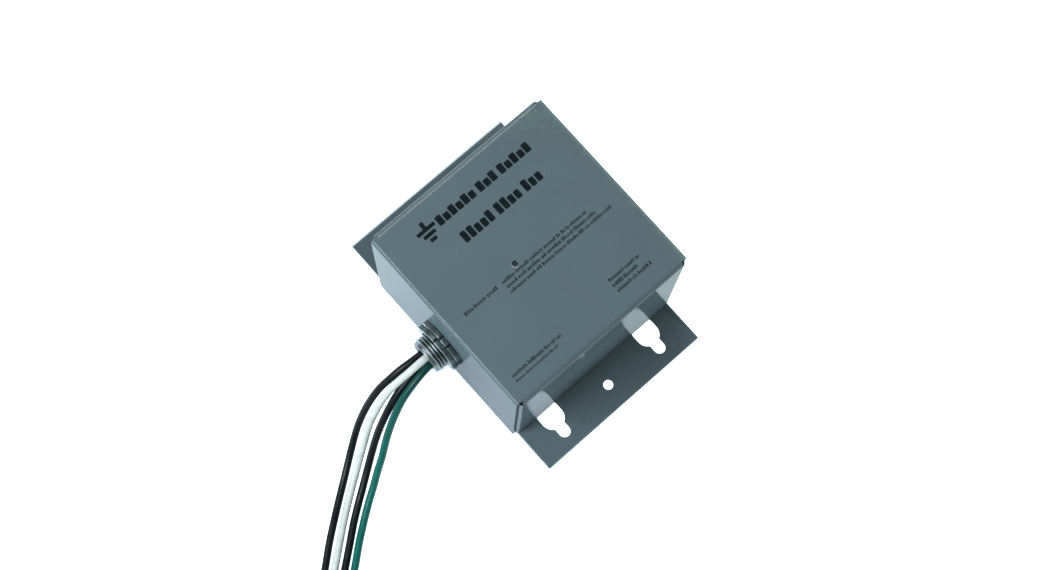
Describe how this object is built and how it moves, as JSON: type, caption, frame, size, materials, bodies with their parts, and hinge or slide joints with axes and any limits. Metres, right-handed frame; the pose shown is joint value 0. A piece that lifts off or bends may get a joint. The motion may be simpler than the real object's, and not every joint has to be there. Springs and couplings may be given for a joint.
{
  "type": "surge protector",
  "caption": "Folded sheet-steel surge protector box on a flat back plate with keyholed flanges, a side conduit nipple with locknuts and loose wiring leads.",
  "frame": {"origin": "centre of the back plate's rear face", "axes": "+Z out of the front face, +Y towards the top flange, -X along the conduit nipple"},
  "size_m": [0.2812, 0.2116, 0.1016],
  "materials": {
    "grey_paint": "glossy baked grey enamel on sheet steel",
    "plated_steel": "zinc-plated steel, dulled, with bright edges",
    "screw_steel": "bright zinc plate",
    "green_screw": "green dyed zinc plate",
    "brass": "plain brass",
    "varistor_coating": "dipped epoxy, slightly wavy",
    "capacitor_case": "moulded case",
    "fuse_body": "fired ceramic",
    "resistor_body": "lacquered",
    "black_plastic": "moulded nylon",
    "indicator_lens": "tinted clear epoxy",
    "red_insulation": "smooth vinyl",
    "black_insulation": "smooth nylon-jacketed vinyl",
    "white_insulation": "smooth nylon-jacketed vinyl",
    "green_insulation": "smooth nylon-jacketed vinyl",
    "board_laminate": "solder-masked glass laminate",
    "insulating_paper": "pressed fibre sheet",
    "blue_plastic": "moulded thermoplastic"
  },
  "bodies": {
    "housing": {"front_cover": "grey_paint", "back_plate": "grey_paint", "cover_rivets": "screw_steel", "conduit_nipple": "plated_steel", "wall_locknut": "plated_steel", "inside_locknut": "plated_steel", "nipple_bushing": "blue_plastic", "indicator_led": "indicator_lens", "led_clip": "black_plastic", "led_wire_plus": "red_insulation", "led_wire_minus": "black_insulation", "circuit_board": "board_laminate", "insulating_sheet": "insulating_paper", "standoffs": "brass", "base_screws": "screw_steel", "board_screws": "screw_steel", "varistor_1": "varistor_coating", "varistor_2": "varistor_coating", "varistor_3": "varistor_coating", "varistor_4": "varistor_coating", "varistor_5": "varistor_coating", "varistor_6": "varistor_coating", "thermal_fuse_1": "fuse_body", "thermal_fuse_2": "fuse_body", "thermal_fuse_3": "fuse_body", "filter_capacitor_1": "capacitor_case", "filter_capacitor_2": "capacitor_case", "dropping_resistor_1": "resistor_body", "dropping_resistor_2": "resistor_body", "blocking_diode": "black_plastic", "lead_terminals": "brass", "terminal_screws": "screw_steel", "ground_lug": "brass", "ground_screw": "green_screw", "inner_lead_black_1": "black_insulation", "inner_lead_white": "white_insulation", "inner_lead_black_2": "black_insulation", "inner_lead_green": "green_insulation", "lead_black_1": "black_insulation", "lead_white": "white_insulation", "lead_black_2": "black_insulation", "lead_green": "green_insulation", "coil_black_1": "black_insulation", "coil_white": "white_insulation", "coil_black_2": "black_insulation", "coil_green": "green_insulation", "coil_tie": "black_plastic"},
    "locknut": {"outer_locknut": "plated_steel"}
  },
  "joints": [
    {"name": "locknut_travel", "type": "slide", "parent": "housing", "child": "locknut", "axis": [-1, 0, 0], "range_m": [0, 0.007]}
  ]
}
